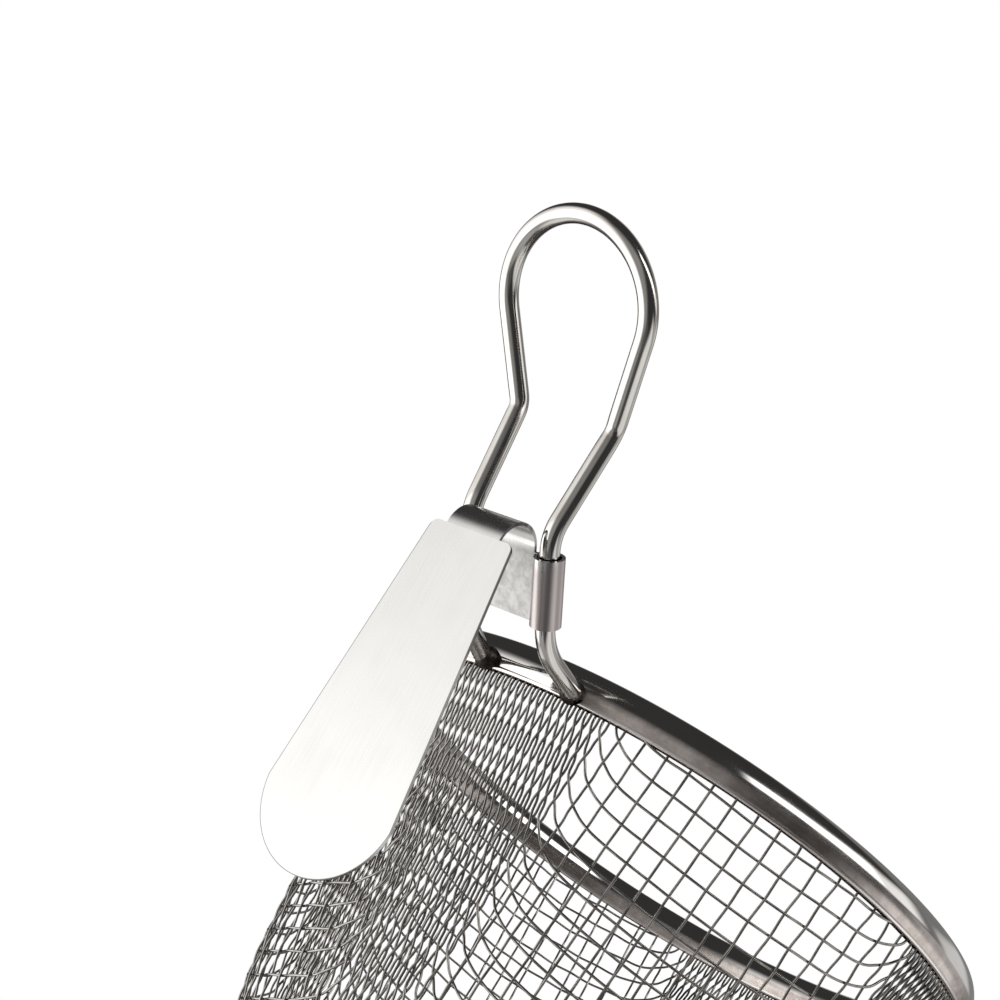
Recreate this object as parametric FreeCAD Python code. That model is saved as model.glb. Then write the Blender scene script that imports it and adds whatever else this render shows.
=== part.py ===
"""Deep wire-mesh strainer basket with a looped wire handle and a hanging clip.

Millimetres, +Z up.  The origin is the centre of the basket's flat bottom, on the
basket's axis.  The handle stands over +X, and the XZ plane is the mirror plane.
"""
import FreeCAD, Part
import math
import os

V = FreeCAD.Vector
UP = V(0, 0, 1)
ORIGIN = V(0, 0, 0)

# ---- basket and rim -------------------------------------------------------
BASKET_HEIGHT = 118.0         # flat bottom to the top of the rim
RIM_RADIUS = 70.0             # outside of the rim
RIM_WIDTH = 3.4               # rim, outside to inside
RIM_CROWN = 6.3               # height of the rolled part of the rim
RIM_LIP = 0.7                 # straight lip under the roll, which grips the mesh
RIM_SHEET = 0.55              # thickness of the rolled strip
CROWN_SECTION = (             # share of the half width, and depth below the rim's top
    (0.65, RIM_CROWN),
    (0.94, 5.0),
    (1.00, 3.75),
    (0.80, 2.05),
    (0.39, 0.55),
)
CORE_WIRE = 1.4               # ring wire inside the roll
CORE_DROP = 0.85              # from the inside of the roll down to the core wire
MESH_WIRE = 0.48              # one wire of the cloth, so the cloth is two of these
MESH_MID_RADIUS = RIM_RADIUS - RIM_WIDTH / 2
MESH_THICKNESS = 2 * MESH_WIRE
MESH_TOP = BASKET_HEIGHT - 3.1
WALL_TOP = BASKET_HEIGHT - 7.2  # where the cloth leaves the rim and starts to narrow
NECK_IN_RADIUS = 8.0          # bend just under the rim, at the middle of the cloth
NECK_IN_TURN = 17.0           # degrees
WALL_BOW_RADIUS = 320.0       # the slightly hollow wall below it
WALL_BOW_TURN = -9.8          # turning back towards vertical
BELLY_RADIUS = 90.0           # from the wall round to the corner of the bottom
BELLY_TURN = 35.0

# ---- handle wire ----------------------------------------------------------
WIRE = 3.6                    # handle wire
FOOT_OUT = 71.8               # where a leg's centreline leaves the rim
FOOT_DROP = 5.7               # below the rim's top
FOOT_SPREAD = 10.6            # half the distance between the feet
LEG_SPREAD = 9.2              # half the distance between the legs in the sleeves
LEG_OUT = 90.4                # middle of the straight leg inside a sleeve
LEG_RISE = 2.1
LEG_TILT = 50.0               # of the straight leg, from vertical, outwards
KNEE_RADIUS = 14.0
SHOULDER_RADIUS = 8.0
NECK_OUT = 101.9              # the pinched bend under the loop
NECK_RISE = 29.5
NECK_SPREAD = 10.8
NECK_RADIUS = 4.0
LOOP_TILT = 48.0              # of the loop's plane, from vertical, outwards
LOOP_CENTRE = 20.4            # from the neck, in the loop's plane
LOOP_RADIUS = 15.5
CORNER_STEPS = 8              # rounds of placing the knee and the shoulder

# ---- hanging clip ---------------------------------------------------------
CLIP_SHEET = 0.6
SLEEVE_LENGTH = 12.7
SLEEVE_GAP = 0.4              # all round, between the leg and the sleeve's bore
SEAM = 0.25                   # slit where the rolled edge comes back to the panel
STRIP_HALF = 6.0              # half width of the bend over the top
HOOK_RADIUS = 5.34            # bend over the top, at mid sheet
TONGUE_OUT = 104.8            # where the tongue's plane is level with its top
TONGUE_RISE = 2.5
TONGUE_LEAN = 10.6            # of the tongue, from vertical, towards the basket
TONGUE_TOP_HALF = 9.1
TONGUE_END_RADIUS = 14.4
TONGUE_LENGTH = 64.2
TONGUE_CORNER = 1.6
CLIP_TRAVEL = 2.0             # how far the sleeves slide up the legs

WELD_RADIUS = 2.35


def rim_point(out, drop):
    """Point in the XZ plane at this radius, this far below the rim's top."""
    return V(out, 0, BASKET_HEIGHT - drop)


def handle_point(out, spread, rise):
    """Point out from the axis, spread to the side, and above the rim's top."""
    return V(out, spread, BASKET_HEIGHT + rise)


def mirrored(point):
    return V(point.x, -point.y, point.z)


def tilted(degrees):
    """Unit vector in the XZ plane, this far from vertical towards +X."""
    return V(math.sin(math.radians(degrees)), 0, math.cos(math.radians(degrees)))


def revolved(edges):
    """Solid of revolution about Z of a closed outline in the XZ plane."""
    return Part.Face(Part.Wire(edges)).revolve(ORIGIN, UP, 360)


def arc_through(start, middle, end):
    return Part.Arc(start, middle, end).toShape()


def crown_curve(inset):
    """Rounded section line of the rolled rim, from its outer foot over the top."""
    half = RIM_WIDTH / 2
    slimmer = (half - inset) / half
    outer = []
    for share, drop in CROWN_SECTION:
        own_drop = drop + inset * (1 - 1.6 * drop / RIM_CROWN)
        outer.append(rim_point(MESH_MID_RADIUS + share * half * slimmer, own_drop))
    inner = [V(2 * MESH_MID_RADIUS - point.x, 0, point.z) for point in reversed(outer)]
    curve = Part.BSplineCurve()
    curve.interpolate(outer + [rim_point(MESH_MID_RADIUS, inset)] + inner)
    return curve.toShape()


def rim_cover():
    """Strip rolled over the edge of the mesh, with a lip down each side."""
    outer = crown_curve(0)
    inner = crown_curve(RIM_SHEET)
    middle = MESH_MID_RADIUS
    lip_outside = outer.Vertexes[0].Point.x - middle
    lip_inside = MESH_THICKNESS / 2 + 0.02
    bottom = RIM_CROWN + RIM_LIP
    edges = [outer]
    for side, vertex in ((1, 0), (-1, -1)):
        out_foot = outer.Vertexes[vertex].Point
        in_foot = inner.Vertexes[vertex].Point
        out_lip = rim_point(middle + side * lip_outside, bottom)
        in_lip = rim_point(middle + side * lip_inside, bottom)
        edges.append(Part.makeLine(out_foot, out_lip))
        edges.append(Part.makeLine(out_lip, in_lip))
        edges.append(Part.makeLine(in_lip, in_foot))
    edges.append(inner)
    return revolved(Part.__sortEdges__(edges))


def rim_core_wire():
    """Ring of wire that fills the top of the roll."""
    drop = RIM_SHEET + CORE_WIRE / 2 + CORE_DROP
    return Part.makeTorus(MESH_MID_RADIUS, CORE_WIRE / 2, rim_point(0, drop))


def bend_along(point, heading, radius, turn):
    """Arc from a point of the wall, going down and turning inwards for a positive turn.

    The heading is the angle from straight down towards the axis, in radians.
    """
    side = math.copysign(1, turn)
    centre = V(point.x - side * radius * math.cos(heading), 0,
               point.z + side * radius * math.sin(heading))

    def at(angle):
        return V(centre.x + side * radius * math.cos(angle), 0,
                 centre.z - side * radius * math.sin(angle))

    end = heading + math.radians(turn)
    arc = Part.Arc(point, at((heading + end) / 2), at(end))
    return arc.toBSpline().toShape(), at(end), end


def wall_bends():
    """Radius and turn of each bend from the rim to the flat bottom, at mid cloth."""
    bends = [
        (NECK_IN_RADIUS, NECK_IN_TURN),
        (WALL_BOW_RADIUS, WALL_BOW_TURN),
        (BELLY_RADIUS, BELLY_TURN),
    ]
    point, heading = V(MESH_MID_RADIUS, 0, WALL_TOP), 0.0
    for radius, turn in bends:
        _, point, heading = bend_along(point, heading, radius, turn)
    left = point.z - MESH_THICKNESS / 2
    corner = left / (1 - math.sin(heading))
    bends.append((corner, 90 - math.degrees(heading)))
    return bends


def cup_line(offset):
    """Section line of the cup, offset outwards from the middle of the cloth."""
    point, heading = V(MESH_MID_RADIUS + offset, 0, WALL_TOP), 0.0
    edges = [Part.makeLine(V(point.x, 0, MESH_TOP), point)]
    for radius, turn in wall_bends():
        own = radius + offset * math.copysign(1, turn)
        edge, point, heading = bend_along(point, heading, own, turn)
        edges.append(edge)
    edges.append(Part.makeLine(point, V(0, 0, point.z)))
    return edges


def mesh_basket():
    """Cup of woven cloth, as one closed shell two wires thick."""
    outside = cup_line(MESH_THICKNESS / 2)
    inside = cup_line(-MESH_THICKNESS / 2)
    ends = [
        Part.makeLine(outside[0].Vertexes[0].Point, inside[0].Vertexes[0].Point),
        Part.makeLine(outside[-1].Vertexes[-1].Point, inside[-1].Vertexes[-1].Point),
    ]
    return revolved(Part.__sortEdges__(outside + inside + ends))


def fillet_tangent(before, corner, after, radius):
    """Length from a corner to where its fillet starts."""
    turn = (corner - before).getAngle(after - corner)
    return radius * math.tan(turn / 2)


def rounded_route(points, radii):
    """Edges through the points, with an arc of its own radius at each corner."""
    edges = []
    start = points[0]
    for before, corner, after, radius in zip(points, points[1:], points[2:], radii):
        into = (corner - before).normalize()
        out = (after - corner).normalize()
        length = fillet_tangent(before, corner, after, radius)
        arc_start = corner - into * length
        arc_end = corner + out * length
        bisector = (out - into).normalize()
        centre = corner + bisector * math.hypot(radius, length)
        edges.append(Part.makeLine(start, arc_start))
        edges.append(arc_through(arc_start, centre - bisector * radius, arc_end))
        start = arc_end
    edges.append(Part.makeLine(start, points[-1]))
    return edges


def leg_corners():
    """Corners of one leg: foot, knee, shoulder and neck.

    The knee and the shoulder are placed so that the leg is straight along the
    whole sleeve and its travel.
    """
    along = tilted(LEG_TILT)
    middle = handle_point(LEG_OUT, LEG_SPREAD, LEG_RISE)
    foot = handle_point(FOOT_OUT, FOOT_SPREAD, -FOOT_DROP)
    neck = handle_point(NECK_OUT, NECK_SPREAD, NECK_RISE)
    low_end = middle - along * (SLEEVE_LENGTH / 2)
    high_end = middle + along * (SLEEVE_LENGTH / 2 + CLIP_TRAVEL / 2)
    knee = low_end
    shoulder = high_end
    for _ in range(CORNER_STEPS):
        knee = low_end - along * fillet_tangent(foot, knee, high_end, KNEE_RADIUS)
        shoulder = high_end + along * fillet_tangent(low_end, shoulder, neck, SHOULDER_RADIUS)
    return foot, knee, shoulder, neck


def loop_frame():
    """Centre of the loop and its upward direction in its own plane."""
    upward = tilted(LOOP_TILT)
    return handle_point(NECK_OUT, 0, NECK_RISE) + upward * LOOP_CENTRE, upward


def handle_route():
    """Centreline of the whole wire, from one foot round the loop to the other."""
    foot, knee, shoulder, neck = leg_corners()
    centre, upward = loop_frame()
    distance = math.hypot(NECK_SPREAD, LOOP_CENTRE)
    angle = math.acos(LOOP_RADIUS / distance) - math.atan2(LOOP_CENTRE, NECK_SPREAD)
    tangent = centre + V(0, LOOP_RADIUS * math.cos(angle), 0) + upward * LOOP_RADIUS * math.sin(angle)
    crest = centre + upward * LOOP_RADIUS
    buried_foot = foot + (foot - knee).normalize() * (FOOT_OUT - RIM_RADIUS + RIM_WIDTH / 2)
    leg = [buried_foot, knee, shoulder, neck, tangent]
    radii = [KNEE_RADIUS, SHOULDER_RADIUS, NECK_RADIUS]
    edges = rounded_route(leg, radii)
    edges.append(arc_through(tangent, crest, mirrored(tangent)))
    edges += rounded_route([mirrored(point) for point in reversed(leg)], radii[::-1])
    return edges


def tube_along(edges, radius):
    """Round solid wire along a route."""
    start = edges[0].Vertexes[0].Point
    direction = edges[0].Vertexes[1].Point - start
    section = Part.Wire(Part.makeCircle(radius, start, direction))
    return Part.Wire(edges).makePipeShell([section], True, True)


def rim_envelope():
    """Everything inside the outside faces of the rim and of the mesh under it."""
    crown = crown_curve(0)
    foot = crown.Vertexes[0].Point
    lip = V(foot.x, 0, BASKET_HEIGHT - RIM_CROWN - RIM_LIP)
    mesh = V(MESH_MID_RADIUS + MESH_THICKNESS / 2 + 0.02, 0, lip.z)
    low = V(mesh.x, 0, BASKET_HEIGHT - 4 * RIM_CROWN)
    top = crown.valueAt((crown.FirstParameter + crown.LastParameter) / 2)
    half = Part.BSplineCurve()
    half.interpolate([crown.valueAt(crown.FirstParameter
                                    + (crown.LastParameter - crown.FirstParameter) * step / 16)
                      for step in range(9)])
    edges = [
        half.toShape(),
        Part.makeLine(foot, lip),
        Part.makeLine(lip, mesh),
        Part.makeLine(mesh, low),
        Part.makeLine(low, V(0, 0, low.z)),
        Part.makeLine(V(0, 0, low.z), V(0, 0, top.z)),
        Part.makeLine(V(0, 0, top.z), top),
    ]
    return revolved(Part.__sortEdges__(edges))


def handle_wire():
    """One wire bent into both legs and the loop, its feet cut to fit the rim."""
    return tube_along(handle_route(), WIRE / 2).cut(rim_envelope())


def weld_bead(side, handle):
    """Small collar of weld where a foot meets the rim."""
    foot = handle_point(FOOT_OUT, side * FOOT_SPREAD, -FOOT_DROP)
    inwards = V(-foot.x, -foot.y, 0).normalize()
    centre = foot + inwards * (FOOT_OUT - RIM_RADIUS + RIM_SHEET)
    ball = Part.makeSphere(WELD_RADIUS, centre)
    return ball.cut(handle).cut(rim_envelope())


def clip_frame():
    """Middle of the clip's panel, and its upward and outward directions."""
    along = tilted(LEG_TILT)
    outward = V(along.z, 0, -along.x)
    return handle_point(LEG_OUT, 0, LEG_RISE), along, outward


def flat_sheet(corners, normal):
    """Sheet of the clip's thickness, centred on a closed outline of edges."""
    half = normal * (CLIP_SHEET / 2)
    face = Part.Face(Part.Wire(corners))
    face.translate(half * -1)
    return face.extrude(half * 2)


def sleeve(side):
    """Edge of the sheet rolled round one leg, with its seam on the outer face."""
    middle, along, outward = clip_frame()
    start = middle + V(0, side * LEG_SPREAD, 0) - along * (SLEEVE_LENGTH / 2)
    bore = WIRE / 2 + SLEEVE_GAP
    wall = bore + CLIP_SHEET
    ring = Part.makeCylinder(wall, SLEEVE_LENGTH, start, along)
    ring = ring.cut(Part.makeCylinder(bore, SLEEVE_LENGTH, start, along))
    near = start - V(0, side * (bore + CLIP_SHEET / 2), 0)
    sideways = V(0, side * CLIP_SHEET * 2, 0)
    corner = near + outward * (CLIP_SHEET / 2) - sideways * 0.5
    slit = Part.makePolygon([corner, corner + sideways, corner + sideways + outward * SEAM,
                             corner + outward * SEAM, corner])
    return ring.cut(Part.Face(slit).extrude(along * SLEEVE_LENGTH))


def hook_bend():
    """Bend over the top: its solid, its end point and the tongue's direction."""
    middle, along, outward = clip_frame()
    down = tilted(180 + TONGUE_LEAN)
    face_out = V(-down.z, 0, down.x)
    tongue_top = handle_point(TONGUE_OUT, 0, TONGUE_RISE)
    rise = math.tan(math.radians((180 + TONGUE_LEAN - LEG_TILT) / 2)) * HOOK_RADIUS
    corner = crossing(middle, along, tongue_top, down)
    start = corner - along * rise
    end = corner + down * rise
    centre = start + outward * HOOK_RADIUS
    crest = centre + (corner - centre).normalize() * HOOK_RADIUS
    section = []
    for point in (start, crest, end):
        radial = (point - centre).normalize() * (CLIP_SHEET / 2)
        section.append((point + radial, point - radial))
    outer = arc_through(*[pair[0] for pair in section])
    inner = arc_through(*[pair[1] for pair in section])
    sides = [Part.makeLine(*section[0]), Part.makeLine(*section[2])]
    face = Part.Face(Part.Wire(Part.__sortEdges__([outer, inner] + sides)))
    face.translate(V(0, -STRIP_HALF, 0))
    return face.extrude(V(0, 2 * STRIP_HALF, 0)), start, end, down, face_out


def crossing(point_a, direction_a, point_b, direction_b):
    """Where two lines in the XZ plane meet."""
    gap = point_b - point_a
    cross = direction_a.x * direction_b.z - direction_a.z * direction_b.x
    length = (gap.x * direction_b.z - gap.z * direction_b.x) / cross
    return point_a + direction_a * length


def tongue_outline(top, down):
    """Spatula outline: narrow rounded shoulders, straight flared sides, round end."""
    length_to_centre = TONGUE_LENGTH - TONGUE_END_RADIUS
    distance = math.hypot(TONGUE_TOP_HALF, length_to_centre)
    turn = math.acos(TONGUE_END_RADIUS / distance) - math.atan2(length_to_centre, TONGUE_TOP_HALF)
    centre = top + down * length_to_centre
    side = V(0, math.cos(turn), 0) - down * math.sin(turn)
    tangent = centre + side * TONGUE_END_RADIUS
    tip = centre + down * TONGUE_END_RADIUS
    shoulder = top + V(0, TONGUE_TOP_HALF, 0)
    half = rounded_route([top, shoulder, tangent], [TONGUE_CORNER])
    other = rounded_route([mirrored(tangent), mirrored(shoulder), top], [TONGUE_CORNER])
    return half + [arc_through(tangent, tip, mirrored(tangent))] + other


def hanging_clip():
    """One sheet: two sleeves, the panel between them, the bend and the tongue."""
    middle, along, outward = clip_frame()
    bend, bend_start, bend_end, down, face_out = hook_bend()
    bore = WIRE / 2 + SLEEVE_GAP
    panel_half = LEG_SPREAD - bore - CLIP_SHEET / 2
    foot = middle - along * (SLEEVE_LENGTH / 2)
    head = middle + along * (SLEEVE_LENGTH / 2)
    outline = [foot + V(0, panel_half, 0), head + V(0, panel_half, 0),
               head + V(0, STRIP_HALF, 0), bend_start + V(0, STRIP_HALF, 0)]
    outline += [mirrored(point) for point in reversed(outline)]
    panel = flat_sheet(Part.makePolygon(outline + outline[:1]).Edges, outward)
    tongue = flat_sheet(tongue_outline(bend_end, down), face_out)
    clip = panel.multiFuse([sleeve(1), sleeve(-1), bend, tongue])
    return clip.removeSplitter()


def only_solid(shape):
    """The single solid of a shape, so that each file holds one clean body."""
    solids = shape.Solids
    if len(solids) != 1:
        raise ValueError(f"expected one solid, found {len(solids)}")
    if not solids[0].isValid():
        raise ValueError("a solid is not valid")
    return solids[0]


def build():
    handle = handle_wire()
    return {
        "rim_cover": rim_cover(),
        "rim_core_wire": rim_core_wire(),
        "mesh_basket": mesh_basket(),
        "handle_wire": handle,
        "foot_weld_left": weld_bead(-1, handle),
        "foot_weld_right": weld_bead(1, handle),
        "hanging_clip": hanging_clip(),
    }


os.makedirs("parts", exist_ok=True)
for node, shape in build().items():
    solid = only_solid(shape)
    solid.exportStep(f"parts/{node}.step")
    box = solid.BoundBox
    print(f"{node}: {solid.Volume:.1f} mm3, x {box.XMin:.1f} to {box.XMax:.1f}, "
          f"y {box.YMin:.1f} to {box.YMax:.1f}, z {box.ZMin:.1f} to {box.ZMax:.1f}")
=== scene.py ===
"""Looks of the wire mesh strainer basket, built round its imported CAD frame."""

import bmesh
import bpy
import numpy as np
from mathutils import Matrix, Vector


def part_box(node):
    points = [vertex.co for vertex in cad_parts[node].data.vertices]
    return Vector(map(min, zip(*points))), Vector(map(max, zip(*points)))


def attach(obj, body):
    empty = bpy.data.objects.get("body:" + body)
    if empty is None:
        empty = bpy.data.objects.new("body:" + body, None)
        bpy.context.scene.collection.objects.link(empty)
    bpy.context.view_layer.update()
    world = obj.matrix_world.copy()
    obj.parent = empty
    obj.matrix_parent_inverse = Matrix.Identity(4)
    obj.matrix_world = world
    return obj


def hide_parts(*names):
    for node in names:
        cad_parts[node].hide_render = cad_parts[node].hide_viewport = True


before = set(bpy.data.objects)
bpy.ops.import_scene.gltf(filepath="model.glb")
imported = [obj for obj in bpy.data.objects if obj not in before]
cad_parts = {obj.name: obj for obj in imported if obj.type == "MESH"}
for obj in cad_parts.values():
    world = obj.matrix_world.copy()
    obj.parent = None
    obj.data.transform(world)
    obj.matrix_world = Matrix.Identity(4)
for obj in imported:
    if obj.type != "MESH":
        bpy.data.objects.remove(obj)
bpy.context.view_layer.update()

# ---- driving sizes, in metres ----
RIM_TOP = 0.118
CLOTH_RADIUS = 0.0683
CLOTH_FLOOR = 0.0005
CLOTH_TOP = 0.1149
WALL_TOP = 0.1108
WALL_BENDS = ((0.008, 17.0), (0.320, -9.8), (0.090, 35.0))  # radius, turn in degrees
BEND_STEPS = (4, 10, 16)
BELLY_STEPS = 14
PITCH = 0.0047
WIRE = 0.00051
CRIMP = 0.00024

# ---- forming of the woven cloth: the blank, the punch and die, and how the net relaxes ----
LOCK_WIDTH = 0.0017
SQUARING = 0.1
BLANK_RADIUS = 0.180
BLANK_CUT = 0.024
PUNCH_CORNER = 0.030
PUNCH_TAPER = 0.203
DIE_HEIGHT = 0.113
DRAW_PAST = 0.018
DRAW_STEPS = 150
DRAW_SWEEPS = 40
LAST_SWEEPS = 500
STIFFNESS = 0.2
LAST_STIFFNESS = 0.05
MOST_SQUARING = 5
FIRST_PRESS = 1e-5
GRID = 40

# ---- the strands: steps to a cell, sides of a wire, and which wires are too short to keep ----
SUBSTEPS = 6
SIDES = 7
JOG = 0.9
JOG_POWER = 3
SPARE_ROWS = 2
FEWEST_NODES = 4
FEWEST_POINTS = 6

# ---- guards against dividing by nothing, and a length with no end ----
TINY = 1e-12
TINIER = 1e-15
NO_LIMIT = 1e9


def cup_section():
    """Points (radius, height) of the middle of the cloth, from the axis out and up to the rim."""
    r, z, heading = CLOTH_RADIUS, WALL_TOP, 0.0
    points = [(r, CLOTH_TOP), (r, z)]

    def bend(radius, turn, steps):
        nonlocal r, z, heading
        side = 1 if turn > 0 else -1
        cr = r - side * radius * np.cos(heading)
        cz = z + side * radius * np.sin(heading)
        for angle in heading + np.radians(turn) * np.arange(1, steps + 1) / steps:
            points.append((cr + side * radius * np.cos(angle), cz - side * radius * np.sin(angle)))
        heading += np.radians(turn)
        r, z = points[-1]

    for (radius, turn), steps in zip(WALL_BENDS, BEND_STEPS):
        bend(radius, turn, steps)
    bend((z - CLOTH_FLOOR) / (1 - np.sin(heading)), 90 - np.degrees(heading), BELLY_STEPS)
    points.append((0.0, CLOTH_FLOOR))
    return np.array(points[::-1])


SECTION = cup_section()


def onto_cup(net):
    """Moves points to the nearest point of the finished cup; above the rim they go straight up."""
    start = SECTION[:-1]
    run = SECTION[1:] - start
    limit = np.ones(len(run))
    limit[-1] = NO_LIMIT
    r = np.hypot(net[..., 0], net[..., 1]) + TINY
    dr, dz = r[..., None] - start[:, 0], net[..., 2][..., None] - start[:, 1]
    t = np.clip((dr * run[:, 0] + dz * run[:, 1]) / (run**2).sum(1), 0, limit)
    er, ez = t * run[:, 0] - dr, t * run[:, 1] - dz
    best = (er * er + ez * ez).argmin(-1)[..., None]
    share = 1 + np.take_along_axis(er, best, -1)[..., 0] / r
    net[..., 0] *= share
    net[..., 1] *= share
    net[..., 2] += np.take_along_axis(ez, best, -1)[..., 0]


def onto_punch(net, height):
    """Moves points to the sheet at one stage of the draw: over the punch, straight out to the
    ring of the die, and flat outside it."""
    centre_z = CLOTH_FLOOR + PUNCH_CORNER
    lean = np.arctan(PUNCH_TAPER)
    flat = CLOTH_RADIUS - PUNCH_TAPER * (DIE_HEIGHT - centre_z) - PUNCH_CORNER / np.cos(lean)
    far, up = CLOTH_RADIUS - flat, height - centre_z
    turn = np.arctan2(up, far) - np.arccos(min(1, PUNCH_CORNER / np.hypot(far, up)))
    leave = (flat + PUNCH_CORNER * np.cos(turn), centre_z + PUNCH_CORNER * np.sin(turn))
    way = (-np.sin(turn), np.cos(turn))
    length = np.hypot(CLOTH_RADIUS - leave[0], height - leave[1])
    x, y, z = net[..., 0], net[..., 1], net[..., 2]
    r = np.sqrt(x * x + y * y) + TINY
    t = (r - leave[0]) * way[0] + (z - leave[1]) * way[1]
    out = np.maximum(r - flat, TINY)
    down = np.minimum(z - centre_z, -TINY)
    span = np.sqrt(out * out + down * down)
    on_flat = r <= flat
    r2 = np.where(on_flat, r, flat + out / span * PUNCH_CORNER)
    z2 = np.where(on_flat, CLOTH_FLOOR, centre_z + down / span * PUNCH_CORNER)
    r2 = np.where(t < 0, r2, leave[0] + t * way[0])
    z2 = np.where(t < 0, z2, leave[1] + t * way[1])
    flange = t > length
    r2 = np.where(flange, np.maximum(r, CLOTH_RADIUS), r2)
    z2 = np.where(flange, height, z2)
    net[..., 0] = x * r2 / r
    net[..., 1] = y * r2 / r
    net[..., 2] = z2


def drawn_quarter():
    """One quarter of a flat square-woven blank, drawn into the cup: wires keep their length and
    stiffness, and cells shear freely until neighbouring wires meet."""
    n = GRID + 2
    k = np.arange(-1, GRID + 1) * PITCH
    x, y = np.meshgrid(k, k, indexing="ij")
    diagonal = 2 * x * y / (x * x + y * y + TINY)
    live = np.hypot(x, y) < BLANK_RADIUS - BLANK_CUT * diagonal**2
    weight = live.astype(float)
    net = np.stack([x, y, np.full_like(x, CLOTH_FLOOR)], -1)
    square = PITCH * np.sqrt(2)
    every = slice(None)
    pairs = []
    for start in (0, 1):
        a, b = slice(start, n - 1, 2), slice(start + 1, n, 2)
        pairs.append(((a, every), (b, every), PITCH, False))
        pairs.append(((every, a), (every, b), PITCH, False))
    for start in (0, 1):
        a, b = slice(start, n - 1, 2), slice(start + 1, n, 2)
        m, p = slice(0, n - 1), slice(1, n)
        pairs.append(((a, m), (b, p), LOCK_WIDTH, True))
        pairs.append(((a, p), (b, m), LOCK_WIDTH, True))
    halves = [0.5 * weight[a] * weight[b] for a, b, _, _ in pairs]
    along = 0.5 * STIFFNESS * (weight[2:] * weight[1:-1] * weight[:-2])[..., None]
    across = 0.5 * STIFFNESS * (weight[:, 2:] * weight[:, 1:-1] * weight[:, :-2])[..., None]

    def relax(backwards):
        order = range(len(pairs) - 1, -1, -1) if backwards else range(len(pairs))
        for q in order:
            a, b, length, only_apart = pairs[q]
            first, second = net[a], net[b]
            gap = second - first
            span = np.sqrt(np.einsum("...k,...k", gap, gap)) + TINY
            error = 1 - length / span
            if only_apart:
                share = np.minimum(span / square, 1)
                squaring = np.clip((1 - 1 / share) * share**2, -MOST_SQUARING, 0)
                error = np.minimum(error, 0) + SQUARING * squaring
            move = (halves[q] * error)[..., None] * gap
            net[a] = first + move
            net[b] = second - move
        bend = along * (net[2:] + net[:-2] - 2 * net[1:-1])
        net[1:-1] += bend
        net[2:] -= 0.5 * bend
        net[:-2] -= 0.5 * bend
        bend = across * (net[:, 2:] + net[:, :-2] - 2 * net[:, 1:-1])
        net[:, 1:-1] += bend
        net[:, 2:] -= 0.5 * bend
        net[:, :-2] -= 0.5 * bend
        net[1, :, 0] = 0
        net[:, 1, 1] = 0
        net[...] = 0.5 * (net + net.transpose(1, 0, 2)[..., [1, 0, 2]])
        net[0] = net[2] * (-1, 1, 1)
        net[:, 0] = net[:, 2] * (1, -1, 1)

    for height in np.linspace(CLOTH_FLOOR + FIRST_PRESS, DIE_HEIGHT + DRAW_PAST, DRAW_STEPS):
        for count in range(DRAW_SWEEPS):
            relax(count % 2)
            onto_punch(net, height)
    along *= LAST_STIFFNESS / STIFFNESS
    across *= LAST_STIFFNESS / STIFFNESS
    for count in range(LAST_SWEEPS):
        relax(count % 2)
        onto_cup(net)
    return net[1:, 1:], live[1:, 1:]


def whole_net():
    """Both mirror images of the quarter, as (2n-1, 2n-1) nodes."""
    quarter, live = drawn_quarter()
    half = np.concatenate([quarter[:0:-1] * (-1, 1, 1), quarter], 0)
    net = np.concatenate([half[:, :0:-1] * (1, -1, 1), half], 1)
    half = np.concatenate([live[:0:-1], live], 0)
    alive = np.concatenate([half[:, :0:-1], half], 1)
    return net, alive


def cloth_normal(points):
    """Outward normal of the cup at points near it."""
    run = SECTION[1:] - SECTION[:-1]
    slope = run / np.linalg.norm(run, axis=1)[:, None]
    r = np.hypot(points[:, 0], points[:, 1]) + TINY
    place = np.concatenate([[0], np.cumsum(np.linalg.norm(run, axis=1))])
    dr, dz = r[:, None] - SECTION[:-1, 0], points[:, 2][:, None] - SECTION[:-1, 1]
    t = np.clip((dr * run[:, 0] + dz * run[:, 1]) / (run**2).sum(1), 0, 1)
    er, ez = t * run[:, 0] - dr, t * run[:, 1] - dz
    best = (er * er + ez * ez).argmin(1)
    along = place[best] + t[np.arange(len(r)), best] * (place[best + 1] - place[best])
    centre = 0.5 * (place[1:] + place[:-1])
    angle = np.arctan2(slope[:, 1], slope[:, 0])
    angle = np.interp(along, centre, angle)
    side = np.sin(angle)
    return np.stack([points[:, 0] / r * side, points[:, 1] / r * side, -np.cos(angle)], -1)


def smooth_line(nodes):
    """Catmull-Rom points through the nodes, SUBSTEPS to a cell."""
    ends = np.vstack([2 * nodes[0] - nodes[1], nodes, 2 * nodes[-1] - nodes[-2]])
    p0, p1, p2, p3 = ends[:-3], ends[1:-2], ends[2:-1], ends[3:]
    t = (np.arange(SUBSTEPS) / SUBSTEPS)[None, :, None]
    p0, p1, p2, p3 = (p[:, None, :] for p in (p0, p1, p2, p3))
    curve = 0.5 * (2 * p1 + (p2 - p0) * t + (2 * p0 - 5 * p1 + 4 * p2 - p3) * t**2
                   + (3 * p1 - p0 - 3 * p2 + p3) * t**3)
    return np.vstack([curve.reshape(-1, 3), nodes[-1:]])


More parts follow.
